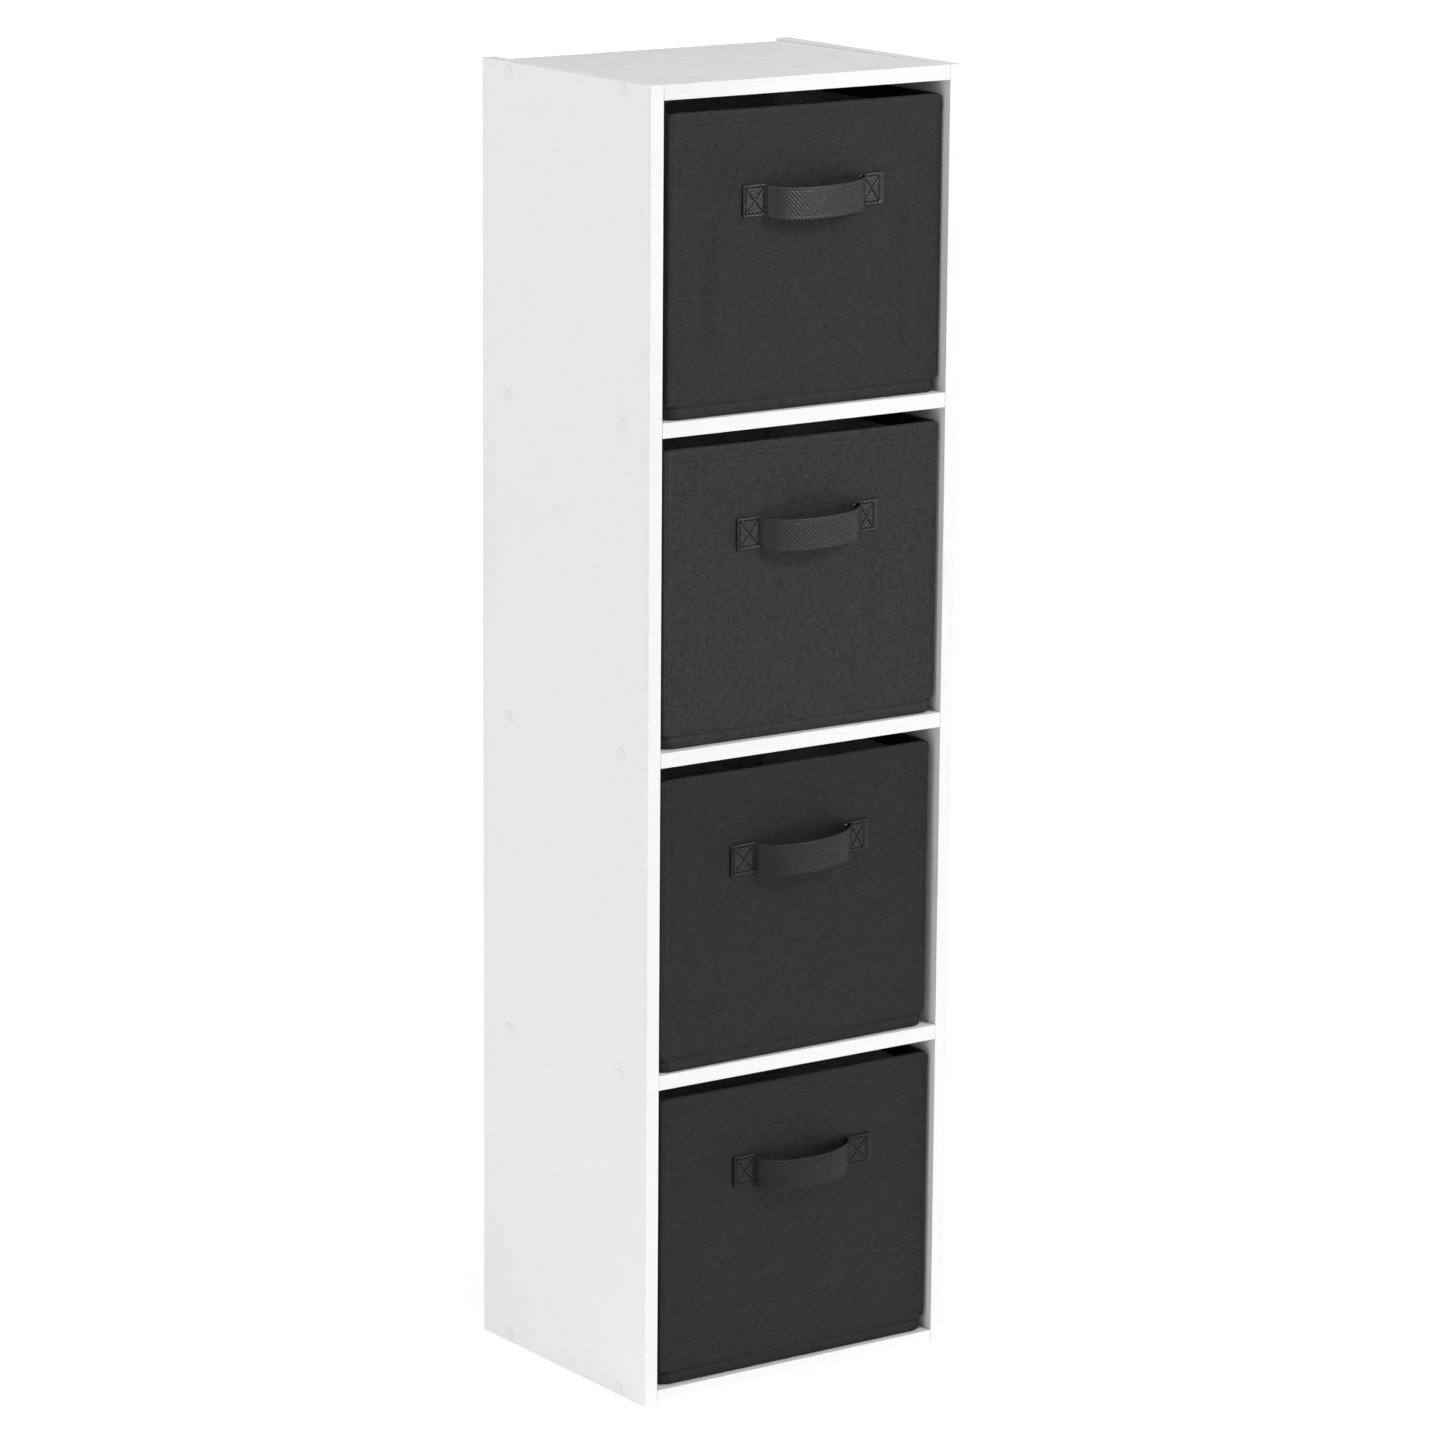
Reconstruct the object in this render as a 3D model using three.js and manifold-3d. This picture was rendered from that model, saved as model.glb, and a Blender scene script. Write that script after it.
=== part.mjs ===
// Cube storage unit: a tower of four open cubbies, each holding a foldable fabric bin.
// Millimetres, +Z up. The origin is the centre of the cabinet's footprint on the floor,
// +X is to the right of someone facing the unit, and the bins' fronts face -Y.

import * as THREE from "three";
import Module from "manifold-3d";
import { mergeVertices } from "three/addons/utils/BufferGeometryUtils.js";

const wasm = await Module();
wasm.setup();

// Cabinet: two full-height side panels with five boards screwed between them, open at the back.
const CABINET_WIDTH = 299;
const CABINET_DEPTH = 237;
const BOARD = 12;
const CUBBY_HEIGHT = 250;
const CUBBY_COUNT = 4;
const TOP_PANEL_DROP = 2.7; // the top panel hangs this much lower along its rear edge
const GAP = 0.3; // clearance between pieces that touch
const BREAKOUT = 1; // how far a cutting shape runs past the face that it opens

// Countersunk assembly screws, through the side panels into the ends of the boards.
const SCREW_SETBACK = 38; // from the front and rear edges of the side panels
const SCREW_LENGTH = 45;
const SCREW_RADIUS = 2.4;
const SCREW_TIP_RADIUS = 0.8;
const SCREW_TIP_LENGTH = 4;
const SCREW_HEAD_RADIUS = 4.5;
const SCREW_HEAD_HEIGHT = 2.4;
const SCREW_SINK = 0.4; // head below the panel's face
const SOCKET_RADIUS = 2;
const SOCKET_DEPTH = 1.8;
const HOLE_CLEARANCE = 0.35;
const PILOT_SPARE = 2; // depth left beyond the screw's tip
const ROUND_SIDES = 12;

// Fabric bin: outer cover with a turned-in rim, four wall stiffeners, lining, loose base board.
const BIN_WIDTH = 266;
const BIN_DEPTH = 228;
const BIN_HEIGHT = 238.7;
const BIN_CORNER = 5;
const COVER = 1;
const STIFFENER = 2;
const LINING = 0.8;
const BASE_BOARD = 3;
const BASE_BOARD_PLAY = 1;
const BASE_BOARD_CORNER = 12;
const SHARPEST_CORNER = 1;
const CORNER_SEGMENTS = 3;

// Webbing handle: one strap whose two ends are sewn flat to the bin's front wall.
const STRAP_WIDTH = 25;
const STRAP_THICKNESS = 1.6;
const STRAP_SPAN = 137;
const STRAP_PATCH = 22; // length of each sewn end
const STRAP_HEIGHT = 167; // middle of the strap above the bottom of the bin
const STRAP_STEPS = 18;

// Where each bin stands, from the top one down. x is the middle of its front face, recess is how
// far that face is behind the cabinet's front, and yaw, in degrees, is how far it stands askew.
// The strap is shifted sideways from the bin's middle, bulges forward, sags, and is sewn on with
// one end raised a little. square is how squarely its arch stands at its left and right ends.
const BINS = [
  { x: 3, recess: 5.8, yaw: 0.55, strapShift: 6, bulge: 15.5, sag: 3.8, rise: 1.9, square: [2.6, 1.8] },
  { x: 2, recess: 5.8, yaw: -0.5, strapShift: 4.7, bulge: 16.5, sag: 4.1, rise: 3.2, square: [1.8, 3] },
  { x: -2, recess: 3.9, yaw: 0.45, strapShift: 3.2, bulge: 16.5, sag: 3.8, rise: 4.9, square: [1.9, 2.2] },
  { x: 2, recess: 5.7, yaw: -0.37, strapShift: 6.4, bulge: 14, sag: 6.1, rise: -1.3, square: [3.4, 2] },
];

// Worked out from the dimensions above. The layers of a bin's wall are measured in from its
// outer face.
const INNER_WIDTH = CABINET_WIDTH - 2 * BOARD;
const CABINET_HEIGHT = CUBBY_COUNT * CUBBY_HEIGHT + (CUBBY_COUNT + 1) * BOARD;
const FRONT_Y = -CABINET_DEPTH / 2;
const TOP_PANEL_PITCH = -Math.asin(TOP_PANEL_DROP / CABINET_DEPTH);
const STIFFENER_OUTER = COVER + GAP;
const LINING_OUTER = STIFFENER_OUTER + STIFFENER + GAP;
const BIN_INNER = LINING_OUTER + LINING;
const FLOOR = COVER + GAP;
const WALL_TOP = BIN_HEIGHT - COVER - GAP;
const STRAP_FREE_HALF = STRAP_SPAN / 2 - STRAP_PATCH;

const white = finish(0xf4f3f1, 0.45, 0);
const zinc = finish(0xb9bcc0, 0.35, 0.9);
const charcoal = finish(0x3a383a, 0.95, 0);
const lightGrey = finish(0xb4b0ae, 0.95, 0);
const greyboard = finish(0x8d8579, 0.9, 0);
const webbing = finish(0x464447, 0.85, 0);

function finish(color, roughness, metalness) {
  return new THREE.MeshStandardMaterial({ color, roughness, metalness });
}

function named(name, geometry, material) {
  const mesh = new THREE.Mesh(geometry, material);
  mesh.name = name;
  return mesh;
}

// Solids: three.js geometry in and out of manifold-3d.

function solid(geometry) {
  const bare = geometry.index ? geometry.toNonIndexed() : geometry.clone();
  bare.deleteAttribute("normal");
  bare.deleteAttribute("uv");
  const merged = mergeVertices(bare, 1e-4);
  const vertProperties = new Float32Array(merged.attributes.position.array);
  const triVerts = new Uint32Array(merged.index.array);
  return new wasm.Manifold(new wasm.Mesh({ numProp: 3, vertProperties, triVerts }));
}

function geometryOf(manifold) {
  const mesh = manifold.getMesh();
  const geometry = new THREE.BufferGeometry();
  geometry.setAttribute("position", new THREE.BufferAttribute(mesh.vertProperties, 3));
  geometry.setIndex(new THREE.BufferAttribute(mesh.triVerts, 1));
  geometry.computeVertexNormals();
  return geometry;
}

function cut(geometry, tools) {
  let body = solid(geometry);
  for (const tool of tools) {
    body = body.subtract(solid(tool));
  }
  return geometryOf(body);
}

// A solid of revolution about the X axis. Each point of the profile is [x, radius], and the
// profile starts and ends on the axis, with x falling.
function turnedAlongX(profile) {
  const points = profile.map(([x, radius]) => new THREE.Vector2(radius, -x));
  return new THREE.LatheGeometry(points, ROUND_SIDES).rotateZ(Math.PI / 2);
}

// An upright prism with rounded vertical edges, standing on z = 0 and centred on x and y.
function roundedPrism(width, depth, height, radius) {
  const x = width / 2 - radius;
  const y = depth / 2 - radius;
  const outline = new THREE.Shape();
  outline.absarc(x, y, radius, 0, Math.PI / 2);
  outline.absarc(-x, y, radius, Math.PI / 2, Math.PI);
  outline.absarc(-x, -y, radius, Math.PI, 1.5 * Math.PI);
  outline.absarc(x, -y, radius, 1.5 * Math.PI, 2 * Math.PI);
  const options = { depth: height, bevelEnabled: false, curveSegments: CORNER_SEGMENTS };
  return new THREE.ExtrudeGeometry(outline, options);
}

// Cabinet

function boardHeight(level) {
  return BOARD / 2 + level * (CUBBY_HEIGHT + BOARD);
}

// The screws at one level, as places in the YZ plane. Those of the top board follow its pitch.
function screwPlaces(level) {
  const pitch = level === CUBBY_COUNT ? TOP_PANEL_PITCH : 0;
  const pivot = new THREE.Vector2(FRONT_Y, boardHeight(level) + BOARD / 2);
  return [SCREW_SETBACK, CABINET_DEPTH - SCREW_SETBACK].map((distance) => {
    const place = new THREE.Vector2(FRONT_Y + distance, boardHeight(level));
    return place.rotateAround(pivot, pitch);
  });
}

function allScrewPlaces() {
  const levels = Array.from({ length: CUBBY_COUNT + 1 }, (_, level) => level);
  return levels.flatMap((level) => screwPlaces(level));
}

// A side panel in its place, drilled and countersunk from its outer face. side is -1 or 1.
function sidePanel(side) {
  const outer = (side * CABINET_WIDTH) / 2;
  const panel = new THREE.BoxGeometry(BOARD, CABINET_DEPTH, CABINET_HEIGHT);
  panel.translate(outer - (side * BOARD) / 2, 0, CABINET_HEIGHT / 2);
  const shank = SCREW_RADIUS + HOLE_CLEARANCE;
  const mouth = SCREW_HEAD_RADIUS + HOLE_CLEARANCE;
  const coneDepth = SCREW_SINK + SCREW_HEAD_HEIGHT;
  const profile = [
    [BREAKOUT, 0],
    [BREAKOUT, mouth],
    [-SCREW_SINK, mouth],
    [-coneDepth, shank],
    [-BOARD - BREAKOUT, shank],
    [-BOARD - BREAKOUT, 0],
  ];
  const drill = turnedAlongX(profile);
  if (side < 0) {
    drill.rotateZ(Math.PI);
  }
  const drills = allScrewPlaces().map((place) => drill.clone().translate(outer, place.x, place.y));
  return cut(panel, drills);
}

// A board between the side panels, lying about its own centre, with pilot holes in both ends.
function crossBoard() {
  const length = INNER_WIDTH - 2 * GAP;
  const board = new THREE.BoxGeometry(length, CABINET_DEPTH, BOARD);
  const pilotDepth = SCREW_LENGTH - BOARD + PILOT_SPARE;
  const radius = SCREW_RADIUS + HOLE_CLEARANCE;
  const pilot = new THREE.CylinderGeometry(radius, radius, 2 * pilotDepth, ROUND_SIDES);
  pilot.rotateZ(Math.PI / 2);
  const holes = [-1, 1].flatMap((end) =>
    [-1, 1].map((row) => {
      const y = row * (CABINET_DEPTH / 2 - SCREW_SETBACK);
      return pilot.clone().translate((end * length) / 2, y, 0);
    })
  );
  return cut(board, holes);
}

// A screw along X with its head at +X and the top of the head at x = 0. The thread is a plain
// cylinder of its outer diameter.
function screw() {
  const taperStart = SCREW_TIP_LENGTH - SCREW_LENGTH;
  const profile = [
    [0, 0],
    [0, SCREW_HEAD_RADIUS],
    [-SCREW_HEAD_HEIGHT, SCREW_RADIUS],
    [taperStart, SCREW_RADIUS],
    [-SCREW_LENGTH, SCREW_TIP_RADIUS],
    [-SCREW_LENGTH, 0],
  ];
  const hexSides = 6;
  const socket = new THREE.CylinderGeometry(SOCKET_RADIUS, SOCKET_RADIUS, 2 * SOCKET_DEPTH, hexSides);
  return cut(turnedAlongX(profile), [socket.rotateZ(Math.PI / 2)]);
}

function makeCabinet() {
  const cabinet = new THREE.Group();
  cabinet.add(named("side_panel_left", sidePanel(-1), white));
  cabinet.add(named("side_panel_right", sidePanel(1), white));

  const boardGeometry = crossBoard();
  ["bottom_panel", "shelf_lower", "shelf_middle", "shelf_upper"].forEach((name, level) => {
    const board = named(name, boardGeometry, white);
    board.position.z = boardHeight(level);
    cabinet.add(board);
  });

  // The top panel is level with the side panels along its front edge and pitches down behind it.
  const hinge = new THREE.Group();
  hinge.position.set(0, FRONT_Y, CABINET_HEIGHT);
  hinge.rotation.x = TOP_PANEL_PITCH;
  const topPanel = named("top_panel", boardGeometry, white);
  topPanel.position.set(0, CABINET_DEPTH / 2, -BOARD / 2);
  hinge.add(topPanel);
  cabinet.add(hinge);

  const screwGeometry = screw();
  const levelNames = ["bottom", "lower", "middle", "upper", "top"];
  levelNames.forEach((levelName, level) => {
    screwPlaces(level).forEach((place, index) => {
      const row = index === 0 ? "front" : "rear";
      for (const [side, sideName] of [[-1, "left"], [1, "right"]]) {
        const piece = named(`screw_${levelName}_${sideName}_${row}`, screwGeometry, zinc);
        piece.position.set(side * (CABINET_WIDTH / 2 - SCREW_SINK), place.x, place.y);
        piece.rotation.z = side < 0 ? Math.PI : 0;
        cabinet.add(piece);
      }
    });
  });
  return cabinet;
}

// Bins. Each piece is made in the bin's own frame: x from its middle, y back from its front face
// and z up from its bottom.

// A prism that follows the bin's outline, set in from its outer faces.
function inset(distance, bottom, top) {
  const radius = Math.max(BIN_CORNER - distance, SHARPEST_CORNER);
  const width = BIN_WIDTH - 2 * distance;
  const depth = BIN_DEPTH - 2 * distance;
  return roundedPrism(width, depth, top - bottom, radius).translate(0, BIN_DEPTH / 2, bottom);
}

// Four walls and a floor in one, turned inwards over the top edges of the stiffeners.
function coverShell() {
  const room = inset(COVER, COVER, BIN_HEIGHT - COVER);
  const mouth = inset(BIN_INNER, COVER, BIN_HEIGHT + BREAKOUT);
  return cut(inset(0, 0, BIN_HEIGHT), [room, mouth]);
}

// A sleeve inside the stiffeners, open at both ends.
function liningSleeve() {
  const hollow = inset(BIN_INNER, FLOOR - BREAKOUT, WALL_TOP + BREAKOUT);
  return cut(inset(LINING_OUTER, FLOOR, WALL_TOP), [hollow]);
}

function stiffener(length) {
  const height = WALL_TOP - FLOOR;
  const board = new THREE.BoxGeometry(length - 2 * (BIN_CORNER + GAP), STIFFENER, height);
  return board.translate(0, 0, FLOOR + height / 2);
}

function baseBoard() {
  const width = BIN_WIDTH - 2 * (BIN_INNER + BASE_BOARD_PLAY);
  const depth = BIN_DEPTH - 2 * (BIN_INNER + BASE_BOARD_PLAY);
  const board = roundedPrism(width, depth, BASE_BOARD, BASE_BOARD_CORNER);
  return board.translate(0, BIN_DEPTH / 2, FLOOR);
}

// How far out the strap stands at x, from 0 at the sewn ends to 1 in the middle.
function archAt(x, [left, right]) {
  const reach = Math.min(Math.abs(x) / STRAP_FREE_HALF, 1);
  return Math.sqrt(1 - reach ** (x < 0 ? left : right));
}

// The strap's outline seen from above, extruded to its width, then sagged where it stands out,
// and tilted.
function strap({ bulge, sag, rise, square }) {
  const face = GAP + STRAP_THICKNESS / 2;
  const middle = [new THREE.Vector2(-STRAP_SPAN / 2, -face)];
  for (let step = 0; step <= STRAP_STEPS; step++) {
    const turn = Math.PI * (step / STRAP_STEPS - 0.5);
    const x = STRAP_FREE_HALF * Math.sin(turn);
    middle.push(new THREE.Vector2(x, -face - bulge * archAt(x, square)));
  }
  middle.push(new THREE.Vector2(STRAP_SPAN / 2, -face));

  const sides = [-1, 1].map((side) =>
    middle.map((point, index) => {
      const before = middle[Math.max(index - 1, 0)];
      const after = middle[Math.min(index + 1, middle.length - 1)];
      const along = after.clone().sub(before).normalize();
      const offset = (side * STRAP_THICKNESS) / 2;
      const y = Math.min(point.y + along.x * offset, -GAP);
      return new THREE.Vector2(point.x - along.y * offset, y);
    })
  );
  const outline = new THREE.Shape([...sides[0], ...sides[1].reverse()]);
  const options = { depth: STRAP_WIDTH, bevelEnabled: false };
  const geometry = new THREE.ExtrudeGeometry(outline, options).translate(0, 0, -STRAP_WIDTH / 2);
  const position = geometry.attributes.position;
  for (let index = 0; index < position.count; index++) {
    const x = position.getX(index);
    const out = (-position.getY(index) - GAP - STRAP_THICKNESS) / bulge;
    const lift = (rise * x) / STRAP_SPAN - sag * Math.min(Math.max(out, 0), 1);
    position.setZ(index, position.getZ(index) + lift);
  }
  return geometry;
}

function makeBin(settings, index) {
  const name = `bin_${index + 1}`;
  const bin = new THREE.Group();
  const shelfTop = boardHeight(CUBBY_COUNT - 1 - index) + BOARD / 2;
  bin.position.set(settings.x, FRONT_Y + settings.recess, shelfTop + GAP);
  bin.rotation.z = THREE.MathUtils.degToRad(settings.yaw);

  bin.add(named(`${name}_cover`, coverShell(), charcoal));
  bin.add(named(`${name}_lining`, liningSleeve(), lightGrey));
  bin.add(named(`${name}_base_board`, baseBoard(), lightGrey));

  const depthAt = STIFFENER_OUTER + STIFFENER / 2;
  const frontBoard = named(`${name}_front_stiffener`, stiffener(BIN_WIDTH), greyboard);
  frontBoard.position.y = depthAt;
  const backBoard = named(`${name}_back_stiffener`, stiffener(BIN_WIDTH), greyboard);
  backBoard.position.y = BIN_DEPTH - depthAt;
  bin.add(frontBoard, backBoard);

  for (const [side, sideName] of [[-1, "left"], [1, "right"]]) {
    const board = named(`${name}_${sideName}_stiffener`, stiffener(BIN_DEPTH), greyboard);
    board.position.set(side * (BIN_WIDTH / 2 - depthAt), BIN_DEPTH / 2, 0);
    board.rotation.z = Math.PI / 2;
    bin.add(board);
  }

  const handle = named(`${name}_handle`, strap(settings), webbing);
  handle.position.set(settings.strapShift, 0, STRAP_HEIGHT);
  bin.add(handle);
  return bin;
}

const cubeStorageUnit = new THREE.Group();
cubeStorageUnit.add(makeCabinet());
BINS.forEach((settings, index) => cubeStorageUnit.add(makeBin(settings, index)));

export default cubeStorageUnit;
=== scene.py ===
"""Looks of the cube storage unit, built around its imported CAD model.

The CAD frame is in metres, +Z up, with the bins' fronts facing -Y. A bin's own pieces are worked
out in millimetres in the bin's frame: x from its middle, y back from its front face, z up.
"""

import math

import bpy
import numpy as np
from mathutils import Matrix, Vector


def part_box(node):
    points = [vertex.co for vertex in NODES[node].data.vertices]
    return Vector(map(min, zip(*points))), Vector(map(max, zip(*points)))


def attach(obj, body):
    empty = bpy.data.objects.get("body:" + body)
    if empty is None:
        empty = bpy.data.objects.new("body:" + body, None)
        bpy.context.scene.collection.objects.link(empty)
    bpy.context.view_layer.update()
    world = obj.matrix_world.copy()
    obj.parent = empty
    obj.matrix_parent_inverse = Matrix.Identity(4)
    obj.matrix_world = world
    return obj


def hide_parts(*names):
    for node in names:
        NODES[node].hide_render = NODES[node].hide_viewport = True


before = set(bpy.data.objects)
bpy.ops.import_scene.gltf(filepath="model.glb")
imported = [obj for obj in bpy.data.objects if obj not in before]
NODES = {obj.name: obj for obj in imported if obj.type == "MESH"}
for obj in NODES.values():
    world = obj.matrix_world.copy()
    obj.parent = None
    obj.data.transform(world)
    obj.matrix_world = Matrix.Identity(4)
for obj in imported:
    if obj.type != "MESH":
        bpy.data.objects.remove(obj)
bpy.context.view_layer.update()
MM = 0.001
BIN_COUNT = 4

# Bins, in millimetres. A SKIN, FROM, TO or EDGE is a depth in from the outer face of the CAD cover.
CORNER_RADIUS = 2.0
BASE_CORNER_RADIUS = 13.0
INNER_CORNER_RADIUS = 0.8  # the least for a layer inside the cover
BASE_BAND = 8.0  # height of the band sewn round the bottom edge
CORNER_CHANGE = (8.8, 12.5)  # heights between which the bottom corner turns into the wall's
SEAM_INSET = 5.6  # from the sides of a wall to its corner seams
WALL_SKIN = 0.45
HEM_SKIN = 0.12
FABRIC = 0.85
RIM_RADIUS = 2.55
HEM_DEPTH = 12.5
HEM_ROWS = (7.0, 11.0)  # stitch rows, down from the rim
STIFFENER_FROM, STIFFENER_TO = 1.5, 2.8
LINING_SKIN, LINING = 3.2, 0.6
BASE_BOARD_EDGE = 5.9
SWELL_LIMITS = (-1.75, 1.6)  # of a front wall
OTHER_SWELL_LIMITS = (-1.3, 0.2)
SEAM_RIDGE, SEAM_GROOVE = 0.45, -0.2
# How far the rim drops at a crisp corner and at a slumped one, and over what length of wall.
RIM_DIP = (0.8, 1.2)
RIM_DIP_LENGTH = (3.0, 3.3)
RIM_SAG = 0.5  # between the corners
# Distances from the end of a wall's straight part at which it has extra columns of points.
EDGE_COLUMNS = np.array([0, 0.9, 1.8, 2.5, 3, 3.5, 4, 4.6, 5.4, 6.8, 9, 13])

STITCH_PITCH, STITCH_LENGTH = 3.5, 2.8
HEAVY_STITCH_PITCH, HEAVY_STITCH_LENGTH = 2.9, 2.4
THREAD_RADIUS = 0.24
HEAVY_THREAD_RADIUS = 0.42
THREAD_SIDES = 6

# Webbing handles
WEBBING = 1.0
WEBBING_WIDTH = 25.0
STRAP_STEP = 0.5
TWILL_PERIOD = 3.6
TWILL_SLOPE = 1.0
TWILL_HEIGHT = 0.11
TAIL = 25.0  # length folded under at each end
LAYER_GAP = 0.06  # between the folded layers
SELVEDGE_INSET, SELVEDGE_DEPTH = 2.3, 0.22
# The sewn box and cross: how far the box is from the strap's long edges, from the bend where the
# strap leaves the wall, and from the left and the right fold, and how far it pulls the strap in.
BOX_FROM_EDGE = 2.3
BOX_FROM_BEND = 1.2
BOX_FROM_FOLDS = (2.4, 5)
SEWN_GROOVE = 0.42

# The straps as they hang, from the top bin down: how far each stands out, droops and rises to the
# right, how far it tips its face up in radians, how long its sewn ends are, and how square its
# arch is at each of them.
STRAPS = (
    dict(bulge=15.5, sag=3.8, rise=1.9, tip=0.05, sewn=(21.0, 21.0), power=(2.6, 1.8)),
    dict(bulge=16.5, sag=4.1, rise=3.2, tip=0.05, sewn=(22.0, 20.0), power=(1.8, 2.6)),
    dict(bulge=16.5, sag=3.8, rise=4.9, tip=0.08, sewn=(23.5, 20.0), power=(1.9, 2.0)),
    dict(bulge=14.0, sag=6.1, rise=-1.3, tip=0.10, sewn=(20.6, 24.5), power=(3.4, 1.8)),
)

# Soft creases in each bin's front wall: points along it (x, z), its half width and its height,
# where a negative height is a dent.
CREASES = (
    (
        (((-62, 232), (-76, 186), (-98, 137), (-103, 60)), 7.0, -2.0),
        (((-76, 228), (-90, 182), (-112, 133), (-117, 60)), 6.5, 1.4),
        (((90, 150), (92, 24)), 5.5, -1.3),
        (((102, 150), (104, 40)), 5.5, 1.0),
        (((40, 225), (60, 120)), 22.0, 0.8),
    ),
    (
        (((104, 52), (127, 14)), 7.0, -1.7),
        (((76, 110), (80, 50)), 7.0, 0.9),
        (((60, 150), (64, 60)), 6.0, -0.8),
        (((-90, 60), (-60, 20)), 20.0, -1.0),
    ),
    (
        (((-26, 209), (4, 214)), 6.0, -1.4),
        (((-4, 216), (-3, 184)), 4.5, 1.1),
        (((-70, 40), (-30, 25)), 16.0, 0.8),
    ),
    ((((-60, 90), (-20, 70)), 26.0, -0.6),),
)

# Cloth. Tuples of four go from the top bin down.
FABRIC_COLOUR = (0.0206, 0.0173, 0.0198)
# Each bin's cloth is painted lighter or darker for the light it gets: painted light on the second
# bin, painted shade on the lower two.
FABRIC_PAINTED_LIGHT = (0.98, 1.23, 0.65, 0.58)
FABRIC_CONTRAST = (0.55, 1.45)
FABRIC_WEAVE, FABRIC_RELIEF = 0.0018, 0.00018  # pitch and depth of the weave, in metres
# The lining's pale grey is painted light: it brightens the dark gap seen above each bin's rim.
LINING_COLOUR_AND_GAP_LIGHT = (0.450, 0.425, 0.415)
LINING_CONTRAST = (0.8, 1.2)
LINING_WEAVE, LINING_RELIEF = 0.0021, 0.00012
SLUB_RELIEF = 1.1
WEBBING_COLOUR = (0.0104, 0.0084, 0.0099)
# Each strap's tape is painted a little lighter or darker for the light it gets.
WEBBING_PAINTED_LIGHT = (1.05, 1.12, 1.14, 1.03)
WEBBING_SHEEN = (0.60, 0.47, 0.32, 0.25)
# The twill's colour contrast is the pattern plus a painted glint, strongest on the top two straps,
# which catch the highlight.
TWILL_PATTERN_AND_GLINT = ((0.15, 2.3), (0.2, 2.2), (0.35, 1.8), (0.35, 1.8))
THREAD_COLOUR = (0.0170, 0.0150, 0.0165)
HEAVY_THREAD_COLOUR = (0.0030, 0.0026, 0.0028)
# How much paler the cloth is painted over the base band and the hem, and how bright the painted
# highlight on the left corner seam's ridge is.
PALER_BAND, PALER_HEM, SEAM_HIGHLIGHT = 0.17, 0.06, 0.26
SEAM_FADE = (0.0004, 0.0014)  # distances from the seam over which its painted highlight fades, in metres

# Cabinet, in metres
SOFTENED_EDGE = 0.00025
SHARP_ANGLE = math.radians(50)
WELD_DISTANCE = 0.00001
EDGING_THICKNESS = 0.0007
EDGING_JOINT = (0.00005, 0.00022)  # distances over which the joint's dark line fades
CAP_SIDES = 40
# A screw cap's radius and how far it stands proud there, in millimetres.
CAP_PROFILE = (
    (5.2, -0.02),
    (5.7, 0.0),
    (5.8, 0.08),
    (5.72, 0.2),
    (5.45, 0.29),
    (3.6, 0.33),
    (1.6, 0.35),
)

# Studio, in metres and watts
FLOOR_HALF = 40.0
FLOOR_DROP = 0.2  # millimetres below the cabinet's feet
FLOOR_GLOW, FAR_FLOOR_GLOW = 0.60, 1.05
GLOW_DISTANCES = (1.5, 7.0)
FRONT_FLOOR_SHARE = 0.3
FRONT_FLOOR_FADE = (-1.3, -0.55)  # places along y
WORLD_STRENGTH = 0.18
LIGHT_COLOUR = (0.98, 0.99, 1.0)
# Each light's place, the point it faces, the side of its square and its power.
LIGHTS = {
    "front_right_softbox": ((1.2, -2.45, 2.6), (0.0, 0.0, 0.5), 0.85, 50.0),
    "low_softbox": ((1.85, -2.55, 0.55), (0.0, 0.0, 0.55), 0.34, 8.3),
    "overhead_softbox": ((0.0, -0.2, 3.4), (0.0, 0.0, 0.0), 3.2, 41.5),
    "left_fill": ((-3.1, -0.4, 2.0), (0.0, 0.0, 0.6), 2.0, 26.5),
}
CAMERA_LENS = 146.35
CAMERA_PLACE = (-2.68544, -3.80546, 1.56413)
CAMERA_ANGLES = (35.265, 12.608, 0.439)  # turn to the right of +Y, dip and roll, in degrees


# Meshes


def mesh_object(name, points, faces, material, uv=None, smooth=True):
    """An object in the scene, from points and texture places in millimetres."""
    mesh = bpy.data.meshes.new(name)
    mesh.from_pydata((np.asarray(points) * MM).tolist(), [], [list(f) for f in faces])
    mesh.materials.append(material)
    if smooth:
        mesh.shade_smooth()
    if uv is not None:
        layer = mesh.uv_layers.new(name="weave")
        layer.data.foreach_set("uv", (np.asarray(uv) * MM).astype(np.float32).ravel())
    thing = bpy.data.objects.new(name, mesh)
    bpy.context.scene.collection.objects.link(thing)
    return thing


def grid_faces(rows, columns, wrap):
    """Quads of a grid of points in row order, closed round its columns if wrap is true."""
    index = np.arange(rows * columns).reshape(rows, columns)
    if wrap:
        index = np.concatenate([index, index[:, :1]], axis=1)
    corners = (index[:-1, :-1], index[:-1, 1:], index[1:, 1:], index[1:, :-1])
    return np.stack(corners, -1).reshape(-1, 4)


def tube_faces(rows, columns):
    """Quads of a grid closed round its columns, and a face over each end."""
    ends = [list(range(columns))[::-1], list(range((rows - 1) * columns, rows * columns))]
    return grid_faces(rows, columns, True).tolist() + ends


def grid_uv(u, v):
    """Texture places of the corners of grid_faces, from u and v at the grid's points."""
    corners = [
        np.stack([u[rows, columns], v[rows, columns]], -1)
        for rows, columns in (
            (slice(None, -1), slice(None, -1)),
            (slice(None, -1), slice(1, None)),
            (slice(1, None), slice(1, None)),
            (slice(1, None), slice(None, -1)),
        )
    ]
    return np.stack(corners, -2).reshape(-1, 2)


def smoothstep(low, high, value):
    """0 below low, 1 above high and a smooth rise between."""
    share = np.clip((value - low) / (high - low), 0, 1)
    return share * share * (3 - 2 * share)


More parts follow.
